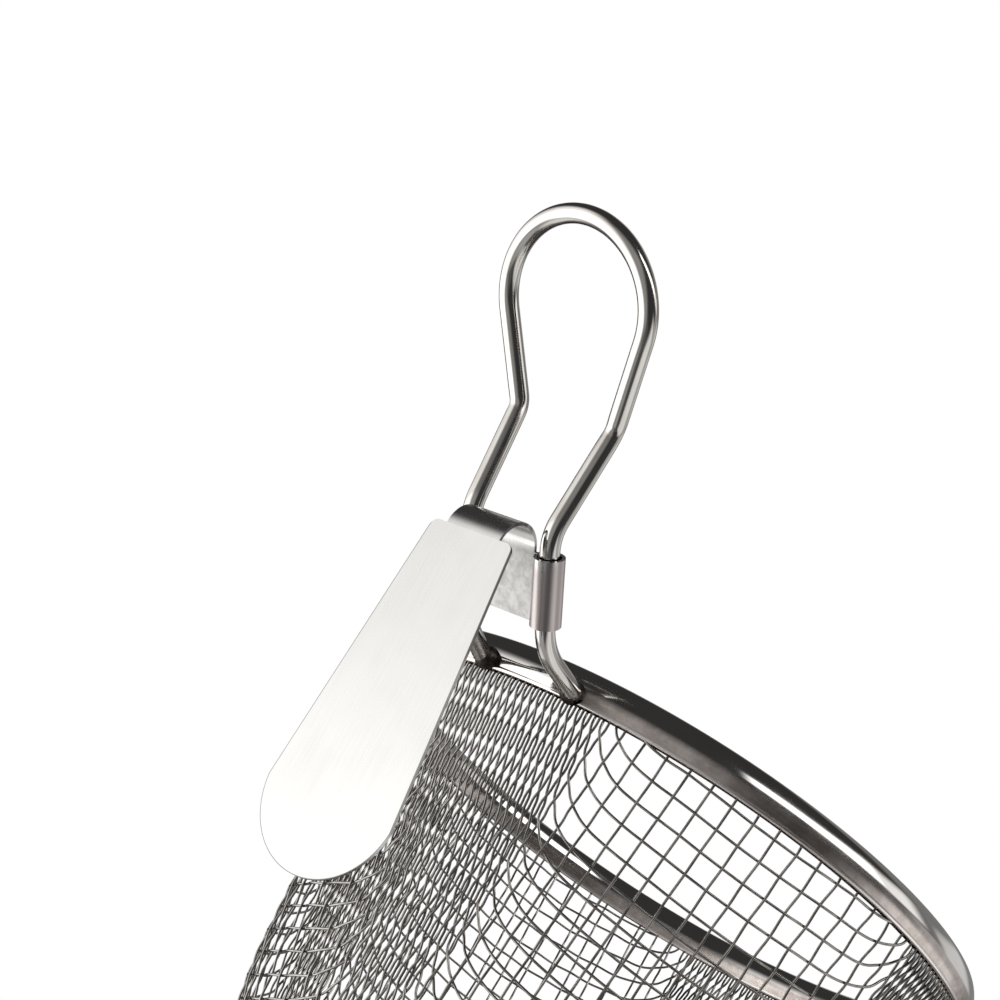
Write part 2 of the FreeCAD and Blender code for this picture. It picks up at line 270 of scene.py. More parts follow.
def node_jogs(net):
    """How far, and which way, sheared wires step sideways where they cross: two families that
    nearly lie along each other run side by side and cross in short kinks."""
    along = np.gradient(net, axis=0)
    across = np.gradient(net, axis=1)
    along /= np.linalg.norm(along, axis=-1, keepdims=True) + TINY
    across /= np.linalg.norm(across, axis=-1, keepdims=True) + TINY
    closeness = (along * across).sum(-1, keepdims=True)
    side = np.where(closeness >= 0, 1.0, -1.0)
    jogs = []
    for own, other in ((along, across), (across, along)):
        way = own - side * other
        way /= np.linalg.norm(way, axis=-1, keepdims=True) + TINY
        slope = (own * way).sum(-1, keepdims=True)
        jogs.append(JOG * PITCH / (2 * np.pi) * slope * np.abs(closeness) ** JOG_POWER * way)
    return jogs


def wire_line(nodes, jogs, first_side):
    """The centre line of one woven wire, crimped over and under those it crosses."""
    line = smooth_line(nodes)
    onto_cup(line)
    step = np.arange(len(line)) / SUBSTEPS
    swing = CRIMP * first_side * np.cos(np.pi * step)
    sideways = np.stack([np.interp(step, np.arange(len(nodes)), jogs[:, k]) for k in range(3)], -1)
    line = line + cloth_normal(line) * swing[:, None] + sideways * np.sin(2 * np.pi * step)[:, None]
    keep = line[:, 2] <= CLOTH_TOP
    return line, keep


def tube_rings(line, radius, sides):
    """Rings of points round a line, with no twist between them."""
    tangent = np.gradient(line, axis=0)
    tangent /= np.linalg.norm(tangent, axis=1)[:, None] + TINIER
    normal = cloth_normal(line)
    binormal = np.cross(tangent, normal)
    binormal /= np.linalg.norm(binormal, axis=1)[:, None] + TINIER
    normal = np.cross(binormal, tangent)
    angle = np.arange(sides) * 2 * np.pi / sides
    ring = np.cos(angle)[None, :, None] * normal[:, None]
    ring = ring + np.sin(angle)[None, :, None] * binormal[:, None]
    return line[:, None] + radius * ring


def tube_faces(count, sides):
    """Quads of a tube of count rings, and the rings of its two caps."""
    i = np.arange(count - 1)[:, None] * sides
    j = np.arange(sides)[None, :]
    j2 = (j + 1) % sides
    quads = np.stack([i + j, i + j2, i + sides + j2, i + sides + j], -1).reshape(-1, 4)
    return quads, (j[0, ::-1], j[0] + (count - 1) * sides)


def tubes_mesh(name, lines, radius, sides):
    """One mesh object holding a closed round tube along each line."""
    points, quads, caps, base = [], [], [], 0
    for line in lines:
        points.append(tube_rings(line, radius, sides).reshape(-1, 3))
        walls, ends = tube_faces(len(line), sides)
        quads.append(walls + base)
        caps += [(ring + base).tolist() for ring in ends]
        base += len(line) * sides
    mesh = bpy.data.meshes.new(name)
    faces = np.vstack(quads).tolist() + caps
    mesh.from_pydata(np.vstack(points), [], faces)
    mesh.shade_smooth()
    mesh.update()
    obj = bpy.data.objects.new(name, mesh)
    bpy.context.scene.collection.objects.link(obj)
    return obj


def woven_lines():
    """Centre lines of the warp and weft wires, turned so the weave runs diagonally to the handle."""
    net, alive = whole_net()
    turn = np.sqrt(0.5)
    spin = np.array([[turn, turn, 0], [-turn, turn, 0], [0, 0, 1]])
    families = []
    jogs = node_jogs(net)
    for family in (0, 1):
        lines = []
        jog = jogs[0] if family == 0 else jogs[1].transpose(1, 0, 2)
        grid = net if family == 0 else net.transpose(1, 0, 2)
        mask = alive if family == 0 else alive.T
        for j in range(grid.shape[1]):
            rows = np.nonzero(mask[:, j] & (grid[:, j, 2] < CLOTH_TOP + SPARE_ROWS * PITCH))[0]
            if len(rows) < FEWEST_NODES:
                continue
            nodes = grid[rows[0]:rows[-1] + 1, j]
            side = (1 if family == 0 else -1) * (1 if (rows[0] + j) % 2 == 0 else -1)
            line, keep = wire_line(nodes, jog[rows[0]:rows[-1] + 1, j], side)
            kept = np.nonzero(keep)[0]
            if len(kept) < FEWEST_POINTS:
                continue
            lines.append(line[kept[0]:kept[-1] + 1] @ spin)
        families.append(lines)
    return families


def build_cloth():
    """All the strands, in four pieces that stand for the CAD's closed cup."""
    warp, weft = woven_lines()
    made = []
    for label, lines in (("warp", warp), ("weft", weft)):
        half = len(lines) // 2
        for number, group in enumerate((lines[:half], lines[half:]), 1):
            obj = tubes_mesh(f"{label}_wires_{number}", group, 0.5 * WIRE, SIDES)
            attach(obj, "basket")
            made.append(obj)
    for obj in made:
        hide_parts("mesh_basket")
    return made


# ---- the rolled rim ----
RIM_RADIUS = 0.06999
RIM_WIDTH = 0.0034
RIM_CROWN = 0.0063
RIM_LIP = 0.0007
LIP_INSIDE = 0.0005
LIP_DEPTH = 0.003
LIP_FLAT = 0.00005
# Half the section, from the foot up: share of half the width, and depth below the top.
RIM_SIDE = ((0.65, RIM_CROWN), (0.94, 0.0050), (1.0, 0.00375), (0.80, 0.00205), (0.39, 0.00055))
RIM_STEPS = 8
RIM_SEGMENTS = 384
RIM_SHARP = 30


def rim_section():
    """Outline of the roll, from foot to foot: the foot's distance from the rim's middle, and
    points (distance from the middle, depth below the top)."""
    half = 0.5 * RIM_WIDTH
    side = [(share * half, drop) for share, drop in RIM_SIDE]
    knots = np.array(side + [(0.0, 0.0)] + [(-x, drop) for x, drop in reversed(side)])
    return knots[0, 0], spline_through(knots, RIM_STEPS)


def spline_through(knots, steps):
    """Natural cubic spline through the knots, spaced by the length of the chords."""
    place = np.concatenate([[0], np.cumsum(np.linalg.norm(np.diff(knots, axis=0), axis=1))])
    count = len(knots)
    gap = np.diff(place)
    system = np.eye(count)
    right = np.zeros((count, 2))
    for k in range(1, count - 1):
        system[k, k - 1:k + 2] = gap[k - 1], 2 * (gap[k - 1] + gap[k]), gap[k]
        right[k] = 6 * ((knots[k + 1] - knots[k]) / gap[k] - (knots[k] - knots[k - 1]) / gap[k - 1])
    bend = np.linalg.solve(system, right)
    points = []
    for k in range(count - 1):
        for u in np.arange(steps) / steps * gap[k]:
            v = gap[k] - u
            point = (bend[k] * v**3 + bend[k + 1] * u**3) / (6 * gap[k])
            point = point + (knots[k + 1] / gap[k] - bend[k + 1] * gap[k] / 6) * u
            points.append(point + (knots[k] / gap[k] - bend[k] * gap[k] / 6) * v)
    points.append(knots[-1])
    return np.array(points)


def ring_mesh(name, outline, segments):
    """Closed ring about the axis from a closed outline of (radius, height)."""
    angle = np.arange(segments) * 2 * np.pi / segments
    count = len(outline)
    ring = np.stack([
        np.cos(angle)[:, None] * outline[None, :, 0],
        np.sin(angle)[:, None] * outline[None, :, 0],
        np.broadcast_to(outline[None, :, 1], (segments, count)),
    ], -1)
    i = np.arange(segments)[:, None] * count
    i2 = (np.arange(segments)[:, None] + 1) % segments * count
    j = np.arange(count)[None, :]
    j2 = (j + 1) % count
    quads = np.stack([i + j, i2 + j, i2 + j2, i + j2], -1).reshape(-1, 4)
    return finished_piece(name, ring.reshape(-1, 3), quads.tolist(), RIM_SHARP)


def finished_piece(name, points, faces, sharp):
    """A piece with outward normals, smooth but for edges that turn by more than sharp degrees."""
    mesh = bpy.data.meshes.new(name)
    mesh.from_pydata(np.asarray(points), [], faces)
    mesh.validate()
    limit = float(np.radians(sharp))
    shape = bmesh.new()
    shape.from_mesh(mesh)
    bmesh.ops.recalc_face_normals(shape, faces=shape.faces)
    for edge in shape.edges:
        edge.smooth = len(edge.link_faces) == 2 and edge.calc_face_angle(0) < limit
    for face in shape.faces:
        face.smooth = True
    shape.to_mesh(mesh)
    shape.free()
    obj = bpy.data.objects.new(name, mesh)
    bpy.context.scene.collection.objects.link(obj)
    return obj


def build_rim():
    """The rolled strip, as in the CAD but finely faceted, with softened lip edges."""
    foot, crown = rim_section()
    bottom = RIM_CROWN + RIM_LIP
    ease = foot - LIP_INSIDE - LIP_FLAT
    turn = np.radians(np.arange(0, 91, 10))
    right = [(LIP_INSIDE, bottom - LIP_DEPTH), (LIP_INSIDE, bottom)]
    right += list(zip(foot - ease * (1 - np.sin(turn)), bottom - ease * (1 - np.cos(turn))))
    left = [(-x, drop) for x, drop in reversed(right)]
    section = np.vstack([right, crown, left])
    outline = np.stack([RIM_RADIUS - 0.5 * RIM_WIDTH + section[:, 0], RIM_TOP - section[:, 1]], -1)
    obj = ring_mesh("rolled_rim", outline, RIM_SEGMENTS)
    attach(obj, "basket")
    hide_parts("rim_cover")
    return obj


# ---- finishes and painted shade and highlights: where they change over, in metres, and their colours ----
LINE_DETAIL = 4.0
LINE_ROUGH = 0.6
LINE_SPREAD = (0.3, 0.75)
PATCH_DETAIL = 2.0
PATCH_SPREAD = (0.35, 0.68)
BLOTCH_DETAIL = 4.0
BLOTCH_ROUGH = 0.7
BUMP_UNIT = 1e-6
RING_GRAIN = (1.6, 2200.0, 2200.0)
SHEET_GRAIN = (60.0, 2600.0, 60.0)
WIRE_GRAIN = (45.0, 1500.0, 1500.0)
FINE_GRAIN = (900.0, 900.0, 900.0)

# Rim skirt: painted shade, darker and browner in stain-like blotches, kept off between the handle's feet,
# where the bright colour is a painted reflection of the white light.
SKIRT_FADE = (RIM_TOP - 0.0030, RIM_TOP - 0.0042)
SKIRT_DRIFT = 0.0008
DRIFT_SIZE = 90
SKIRT_ROUGHER = 0.2
FEET_X = (0.01, -0.01)
FEET_Y = (0.0095, 0.0120)
# The lip's pale band is a painted highlight.
LIP_HIGHLIGHT_FADE = (RIM_TOP - RIM_CROWN + 0.0001, RIM_TOP - RIM_CROWN - 0.0002)
# Stain-like blotches of the skirt's painted shade.
SKIRT_BLOTCH_SIZE = 240
SKIRT_BLOTCH_SPREAD = (0.35, 0.65)
SKIRT_STAIN_AND_SHADE_TONES = ((0.78, 0.71, 0.67), (0.58, 0.51, 0.47))
LIP_HIGHLIGHT_TONE = (0.93, 0.86, 0.82)

TONGUE_LEAN = 10.6
TONGUE_TOP = 0.0091
TONGUE_END = 0.0144
TONGUE_LENGTH = 0.0642
TONGUE_FACING = (float(np.cos(np.radians(TONGUE_LEAN))), 0.0, float(-np.sin(np.radians(TONGUE_LEAN))))
TONGUE_X = (0.1005, 0.1012)
CUT_EDGE_TURN = (0.5, 0.3)
CUT_EDGE_Z = (0.1215, 0.1205)
STRIP_END_TURN = (0.97, 0.99)
ROLLED_INSET = (0.00020, 0.00007)
ROLLED_TURN = (0.9, 0.95)
ROLLED_Z = (0.1205, 0.1195)
EDGE_TONE = (0.22, 0.21, 0.2)
# Behind the tongue, the panel and sleeves carry painted shade, in blotches of random tone.
INNER_X = (0.0965, 0.0950)
INNER_Z = (0.1130, 0.1140)
INNER_ROUGHER = 0.06
BLOTCH_SIZE = 420
BLOTCH_SPREAD = (0.38, 0.62)
PANEL_BLOTCH_AND_SHADE_TONES = ((0.49, 0.48, 0.46), (0.36, 0.355, 0.34))
# Painted shade on the panel under the bend.
UNDER_BEND_SHADE_Z = (0.1275, 0.1215)
UNDER_BEND_SHADE_TONE = (0.20, 0.195, 0.185)
# Painted shade on the rolled sleeves.
SLEEVE_Y = (0.0066, 0.0070)
SLEEVE_SHADE_TONE = (0.58, 0.525, 0.51)


class Graph:
    """Small helper that adds maths nodes to a node tree."""

    def __init__(self, tree):
        self.nodes = tree.nodes
        self.links = tree.links

    def add(self, kind, *values, **settings):
        node = self.nodes.new(kind)
        for key, value in settings.items():
            setattr(node, key, value)
        for socket, value in zip(node.inputs, values):
            self.feed(socket, value)
        return node

    def feed(self, socket, value):
        """Links a socket or sets a constant."""
        if isinstance(value, bpy.types.NodeSocket):
            self.links.new(value, socket)
        else:
            socket.default_value = value

    def math(self, operation, *values):
        return self.add("ShaderNodeMath", *values, operation=operation).outputs[0]

    def ramp(self, value, low, high, first=0.0, last=1.0):
        """From first at low to last at high, smooth between; low may be above high."""
        return self.add("ShaderNodeMapRange", value, low, high, first, last,
                        interpolation_type="SMOOTHSTEP").outputs[0]

    def vector(self, operation, *values):
        return self.add("ShaderNodeVectorMath", *values, operation=operation).outputs["Vector"]

    def noise(self, vector, scale, detail=3.0, rough=0.55):
        node = self.add("ShaderNodeTexNoise")
        self.feed(node.inputs["Vector"], vector)
        node.inputs["Scale"].default_value = scale
        node.inputs["Detail"].default_value = detail
        node.inputs["Roughness"].default_value = rough
        return node.outputs["Fac"]

    def mix(self, share, first, second):
        """From the first colour to the second; each is a socket or red, green and blue."""
        node = self.add("ShaderNodeMix", share, data_type="RGBA")
        for name, colour in (("A", first), ("B", second)):
            socket = isinstance(colour, bpy.types.NodeSocket)
            self.feed(node.inputs[name], colour if socket else (*colour, 1))
        return node.outputs["Result"]

    def blotches(self, place, size, spread, colours):
        """Two colours in soft blotches."""
        patches = self.noise(place, size, BLOTCH_DETAIL, BLOTCH_ROUGH)
        return self.mix(self.ramp(patches, *spread), *colours)


def steel(name, bright, dull, roughness, grain, waves, streaks, wave_size=300, patch_size=70):
    """Stainless steel: colour and roughness drift in patches, fine drawn or rolled lines run
    along the grain, and the surface is very slightly wavy."""
    mat = bpy.data.materials.new(name)
    mat.use_nodes = True
    graph = Graph(mat.node_tree)
    shader = mat.node_tree.nodes["Principled BSDF"]
    place = graph.add("ShaderNodeTexCoord").outputs["Object"]
    lines = graph.noise(grain(graph, place), 1.0, LINE_DETAIL, LINE_ROUGH)
    patches = graph.noise(place, patch_size, PATCH_DETAIL)
    spread = graph.math("MULTIPLY", graph.ramp(patches, *PATCH_SPREAD), 0.5)
    worn = graph.math("MULTIPLY_ADD", graph.ramp(lines, *LINE_SPREAD), 0.5, spread)
    shader.inputs["Metallic"].default_value = 1
    graph.feed(shader.inputs["Base Color"], graph.mix(worn, bright, dull))
    graph.feed(shader.inputs["Roughness"], graph.ramp(worn, 0.0, 1.0, *roughness))
    height = graph.math("MULTIPLY", graph.noise(place, wave_size, 1.0), waves)
    height = graph.math("MULTIPLY_ADD", lines, streaks, height)
    bump = graph.add("ShaderNodeBump")
    bump.inputs["Strength"].default_value = 1.0
    bump.inputs["Distance"].default_value = BUMP_UNIT
    graph.feed(bump.inputs["Height"], height)
    graph.feed(shader.inputs["Normal"], bump.outputs["Normal"])
    return mat, graph, shader, place


def round_the_axis(graph, place):
    """Grain that runs round the basket's axis."""
    x, y, z = graph.add("ShaderNodeSeparateXYZ", place).outputs
    turn = graph.math("ARCTAN2", y, x)
    radius = graph.math("POWER", graph.math("MULTIPLY_ADD", x, x, graph.math("MULTIPLY", y, y)), 0.5)
    parts = [graph.math("MULTIPLY", part, size) for part, size in zip((turn, radius, z), RING_GRAIN)]
    return graph.add("ShaderNodeCombineXYZ", *parts).outputs[0]


def along_the_sheet(graph, place):
    """Grain that runs down the clip's sheet."""
    return graph.vector("MULTIPLY", place, SHEET_GRAIN)


def along_the_wire(graph, place):
    """Grain that runs along a drawn wire, from the coordinates kept on the mesh."""
    kept = graph.add("ShaderNodeAttribute", attribute_name="grain").outputs["Vector"]
    return graph.vector("MULTIPLY", kept, WIRE_GRAIN)


def any_way(graph, place):
    """Fine grain with no direction."""
    return graph.vector("MULTIPLY", place, FINE_GRAIN)


def rim_material():
    """Polished over the crown. The skirt under it is duller and browner, painted shade in stain-like
    blotches, but not between the handle's feet, which keep the bright colour as a painted reflection of
    the white light; the straight lip is pale, a painted highlight."""
    mat, graph, shader, place = steel("rim_steel", (0.69, 0.67, 0.65), (0.60, 0.57, 0.54), (0.05, 0.14),
                                      round_the_axis, waves=5.0, wave_size=220, streaks=0.5)
    x, y, z = graph.add("ShaderNodeSeparateXYZ", place).outputs
    # Painted shade on the skirt, left off between the handle's feet as a painted reflection of the white
    # light.
    drift = graph.math("MULTIPLY_ADD", graph.noise(place, DRIFT_SIZE, PATCH_DETAIL), SKIRT_DRIFT, z)
    skirt = graph.ramp(drift, *SKIRT_FADE)
    from_lit_gap = graph.math("ADD", graph.math("ABSOLUTE", y), graph.ramp(x, *FEET_X))
    skirt = graph.math("MULTIPLY", skirt, graph.ramp(from_lit_gap, *FEET_Y))
    # The lip's pale colour is a painted highlight.
    lip = graph.ramp(z, *LIP_HIGHLIGHT_FADE)
    stain_and_shade = graph.blotches(place, SKIRT_BLOTCH_SIZE, SKIRT_BLOTCH_SPREAD, SKIRT_STAIN_AND_SHADE_TONES)
    colour = graph.mix(skirt, shader.inputs["Base Color"].links[0].from_socket, stain_and_shade)
    colour = graph.mix(lip, colour, LIP_HIGHLIGHT_TONE)
    graph.feed(shader.inputs["Base Color"], colour)
    rough = shader.inputs["Roughness"].links[0].from_socket
    graph.feed(shader.inputs["Roughness"], graph.math("MULTIPLY_ADD", skirt, SKIRT_ROUGHER, rough))
    return mat


def handle_material():
    """Drawn wire, polished, with fine lines along it."""
    return steel("handle_steel", (0.71, 0.69, 0.655), (0.6, 0.56, 0.52), (0.06, 0.2), along_the_wire,
                 waves=8.0, wave_size=260, streaks=1.2, patch_size=110)[0]


def cloth_material():
    """The cloth's thin wire. Its colour is darker than the other steel's only to come nearer to
    the photograph: painted shade over the whole cloth."""
    # Darker colours than the other steel: painted shade over all the cloth's wires.
    return steel("cloth_steel", (0.44, 0.42, 0.395), (0.24, 0.225, 0.21), (0.06, 0.16), any_way,
                 waves=3.0, wave_size=900, streaks=0.4, patch_size=240)[0]


def core_material():
    """Plain wire inside the roll, out of sight."""
    return steel("core_steel", (0.6, 0.58, 0.56), (0.5, 0.47, 0.45), (0.2, 0.35), round_the_axis,
                 waves=4.0, streaks=0.5)[0]


def weld_material():
    """Scorched and rough, as a spot weld is."""
    return steel("weld_steel", (0.10, 0.085, 0.075), (0.03, 0.026, 0.022), (0.35, 0.6), any_way,
                 waves=60.0, wave_size=1400, streaks=6.0, patch_size=700)[0]


def tongue_inset(graph, y, z):
    """How far inside the outline a point of the tongue's front lies. The outline is the CAD's: a
    round end, and two straight sides that spread from the shoulders down to it."""
    lean = np.radians(TONGUE_LEAN)
    reach = TONGUE_LENGTH - TONGUE_END
    turn = np.arctan2(reach, TONGUE_TOP) - np.arccos(TONGUE_END / np.hypot(TONGUE_TOP, reach))
    shoulder = np.array([TONGUE_TOP, reach])
    foot = TONGUE_END * np.array([np.cos(turn), -np.sin(turn)])
    across = unit(np.array([shoulder[1] - foot[1], foot[0] - shoulder[0]]))
    end_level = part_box("hanging_clip")[0][2] + TONGUE_END * np.cos(lean)
    side = graph.math("ABSOLUTE", y)
    up = graph.math("MULTIPLY", graph.math("SUBTRACT", z, float(end_level)), float(1 / np.cos(lean)))
    out = graph.math("MULTIPLY_ADD", side, float(across[0]), graph.math("MULTIPLY", up, float(across[1])))
    from_side = graph.math("SUBTRACT", float(across @ shoulder), out)
    low = graph.math("MINIMUM", up, graph.math("MULTIPLY", side, float(-np.tan(turn))))
    around = graph.math("MULTIPLY_ADD", side, side, graph.math("MULTIPLY", low, low))
    return graph.math("MINIMUM", from_side, graph.math("SUBTRACT", TONGUE_END, graph.math("SQRT", around)))


def clip_material():
    """Satin sheet: bright on the tongue, duller on the panel and the rolled sleeves, which carry painted
    shade in blotches, darker on the panel under the bend, painted shade too, with grey cut edges and a
    thin grey line round the tongue."""
    mat, graph, shader, place = steel("clip_steel", (0.69, 0.68, 0.66), (0.665, 0.65, 0.625), (0.22, 0.28),
                                      along_the_sheet, waves=5.0, wave_size=150, streaks=0.35)
    facing = graph.add("ShaderNodeNewGeometry").outputs["True Normal"]
    turned = graph.add("ShaderNodeSeparateXYZ", facing).outputs["Y"]
    x, y, z = graph.add("ShaderNodeSeparateXYZ", place).outputs
    sheet = graph.math("ABSOLUTE", graph.add("ShaderNodeVectorMath", facing, TONGUE_FACING,
                                             operation="DOT_PRODUCT").outputs["Value"])
    tongue = graph.ramp(x, *TONGUE_X)
    edge = graph.math("MULTIPLY", graph.ramp(sheet, *CUT_EDGE_TURN), tongue)
    edge = graph.math("MULTIPLY", edge, graph.ramp(z, *CUT_EDGE_Z))
    strip_end = graph.math("MULTIPLY", graph.ramp(graph.math("ABSOLUTE", turned), *STRIP_END_TURN), tongue)
    edge = graph.math("MAXIMUM", edge, strip_end)
    rolled = graph.ramp(tongue_inset(graph, y, z), *ROLLED_INSET)
    rolled = graph.math("MULTIPLY", rolled, graph.ramp(sheet, *ROLLED_TURN))
    rolled = graph.math("MULTIPLY", rolled, graph.ramp(z, *ROLLED_Z))
    edge = graph.math("MAXIMUM", edge, rolled)
    # Painted shade behind the tongue: panel and sleeves darker in blotches, darker still under the bend.
    inner = graph.math("MULTIPLY", graph.ramp(x, *INNER_X), graph.ramp(z, *INNER_Z))
    panel_shade_and_blotch = graph.blotches(place, BLOTCH_SIZE, BLOTCH_SPREAD, PANEL_BLOTCH_AND_SHADE_TONES)
    panel_shade_and_blotch = graph.mix(graph.ramp(z, *UNDER_BEND_SHADE_Z), UNDER_BEND_SHADE_TONE, panel_shade_and_blotch)
    panel_shade_and_blotch = graph.mix(graph.ramp(graph.math("ABSOLUTE", y), *SLEEVE_Y), panel_shade_and_blotch, SLEEVE_SHADE_TONE)
    colour = graph.mix(inner, shader.inputs["Base Color"].links[0].from_socket, panel_shade_and_blotch)
    colour = graph.mix(edge, colour, EDGE_TONE)
    graph.feed(shader.inputs["Base Color"], colour)
    rough = shader.inputs["Roughness"].links[0].from_socket
    graph.feed(shader.inputs["Roughness"], graph.math("MULTIPLY_ADD", inner, INNER_ROUGHER, rough))
    return mat


def floor_material():
    """Pale near the object, and further out the same white as the backdrop."""
    mat = bpy.data.materials.new("floor_white")
    mat.use_nodes = True
    graph = Graph(mat.node_tree)
    shader = mat.node_tree.nodes["Principled BSDF"]
    place = graph.add("ShaderNodeTexCoord").outputs["Object"]
    reach = graph.add("ShaderNodeVectorMath", place, operation="LENGTH").outputs["Value"]
    far = graph.ramp(reach, *FLOOR_FADE)
    pale = graph.mix(graph.noise(place, 3.0), *FLOOR_TONES)
    graph.feed(shader.inputs["Base Color"], graph.mix(far, pale, (0, 0, 0)))
    graph.feed(shader.inputs["Emission Strength"], far)
    shader.inputs["Emission Color"].default_value = (1, 1, 1, 1)
    shader.inputs["Roughness"].default_value = FLOOR_ROUGH
    return mat


def dress(obj, mat):
    """Puts one material on the whole piece."""
    if not obj.data.materials:
        obj.data.materials.append(mat)
    for index in range(len(obj.material_slots)):
        obj.material_slots[index].material = mat


# ---- handle wire: distances out from the axis, to the side and over the rim's top ----
HANDLE_WIRE = 0.00359
FOOT_OUT = 0.0718
FOOT_DROP = 0.0057
FOOT_SPREAD = 0.0106
FOOT_BURIED = 0.0022
LEG_SPREAD = 0.0092
LEG_OUT = 0.0904
LEG_RISE = 0.0021
LEG_TILT = 50.0
SLEEVE_LENGTH = 0.0127
CLIP_TRAVEL = 0.002
KNEE_RADIUS = 0.014
SHOULDER_RADIUS = 0.008
NECK_OUT = 0.1019
NECK_RISE = 0.0295
NECK_SPREAD = 0.0108
NECK_RADIUS = 0.004
LOOP_TILT = 48.0
LOOP_CENTRE = 0.0204
LOOP_RADIUS = 0.0155
CORNER_ROUNDS = 8
PINCH_REACH = 0.0016
PINCH_DEPTH = 0.07
END_SIZES = (0.86, 0.97)
HANDLE_SIDES = 36
HANDLE_STEP = 0.0005
HANDLE_SHARP = 50


def tilted(degrees):
    """A direction in the handle's middle plane, leaning out from straight up."""
    return np.array([np.sin(np.radians(degrees)), 0.0, np.cos(np.radians(degrees))])


def over_rim(out, spread, rise):
    """A point by its distance out from the axis and to the side, and its height over the rim."""
    return np.array([out, spread, RIM_TOP + rise])


def unit(vector):
    """The vector scaled to length one."""
    return vector / np.linalg.norm(vector)


def fillet_run(before, corner, after, radius):
    """Length from a corner to where its bend starts."""
    turn = np.arccos(np.clip(unit(corner - before) @ unit(after - corner), -1, 1))
    return radius * np.tan(turn / 2)


def arc(centre, start, end):
    """Points of the shorter arc from start to end about a centre, both ends included."""
    first, last = start - centre, end - centre
    turn = np.arccos(np.clip(unit(first) @ unit(last), -1, 1))
    steps = max(2, int(np.ceil(turn * np.linalg.norm(first) / HANDLE_STEP)))
    share = np.arange(steps + 1)[:, None] / steps
    return centre + (np.sin((1 - share) * turn) * first + np.sin(share * turn) * last) / np.sin(turn)


def straight(start, end):
    """Points of a straight run, both ends included."""
    steps = max(1, int(np.ceil(np.linalg.norm(end - start) / HANDLE_STEP)))
    return start + (end - start) * np.arange(steps + 1)[:, None] / steps


def leg_path(corners, radii):
    """Points along a route with a bend of its own radius at each inner corner."""
    pieces, start = [], corners[0]
    for before, corner, after, radius in zip(corners, corners[1:], corners[2:], radii):
        run = fillet_run(before, corner, after, radius)
        into, out = unit(corner - before), unit(after - corner)
        centre = corner + unit(out - into) * np.hypot(radius, run)
        pieces.append(straight(start, corner - into * run))
        pieces.append(arc(centre, corner - into * run, corner + out * run))
        start = corner + out * run
    pieces.append(straight(start, corners[-1]))
    return np.vstack([piece[:-1] for piece in pieces] + [corners[-1][None]])


def handle_path():
    """Middle line of the handle wire, from one foot round the loop to the other, and one neck.
    The corners are found in rounds, because each one's bend shifts the next run."""
    along = tilted(LEG_TILT)
    middle = over_rim(LEG_OUT, LEG_SPREAD, LEG_RISE)
    foot = over_rim(FOOT_OUT, FOOT_SPREAD, -FOOT_DROP)
    neck = over_rim(NECK_OUT, NECK_SPREAD, NECK_RISE)
    low_end = middle - along * (SLEEVE_LENGTH / 2)
    high_end = middle + along * (SLEEVE_LENGTH + CLIP_TRAVEL) / 2
    knee, shoulder = low_end, high_end
    for _ in range(CORNER_ROUNDS):
        knee = low_end - along * fillet_run(foot, knee, high_end, KNEE_RADIUS)
        shoulder = high_end + along * fillet_run(low_end, shoulder, neck, SHOULDER_RADIUS)
    upward = tilted(LOOP_TILT)
    sideways = np.array([0.0, 1.0, 0.0])
    centre = over_rim(NECK_OUT, 0, NECK_RISE) + upward * LOOP_CENTRE
    lean = np.arccos(LOOP_RADIUS / np.hypot(NECK_SPREAD, LOOP_CENTRE))
    lean = lean - np.arctan2(LOOP_CENTRE, NECK_SPREAD)
    tangent = centre + LOOP_RADIUS * (np.cos(lean) * sideways + np.sin(lean) * upward)
    start = foot + unit(foot - knee) * FOOT_BURIED
    leg = leg_path([start, knee, shoulder, neck, tangent], [KNEE_RADIUS, SHOULDER_RADIUS, NECK_RADIUS])
    half = np.vstack([leg[:-1], arc(centre, tangent, centre + upward * LOOP_RADIUS)])
    path = np.vstack([half, half[-2::-1] * (1, -1, 1)])
    return path, neck


def carried_frames(path):
    """Two directions across the path, carried along it without twist."""
    tangent = np.gradient(path, axis=0)
    tangent /= np.linalg.norm(tangent, axis=1)[:, None]
    normal = np.zeros_like(path)
    normal[0] = unit(np.cross(tangent[0], (0, 1, 0)))
    for k in range(1, len(path)):
        carried = normal[k - 1] - tangent[k] * (normal[k - 1] @ tangent[k])
        normal[k] = unit(carried)
    return normal, np.cross(tangent, normal)


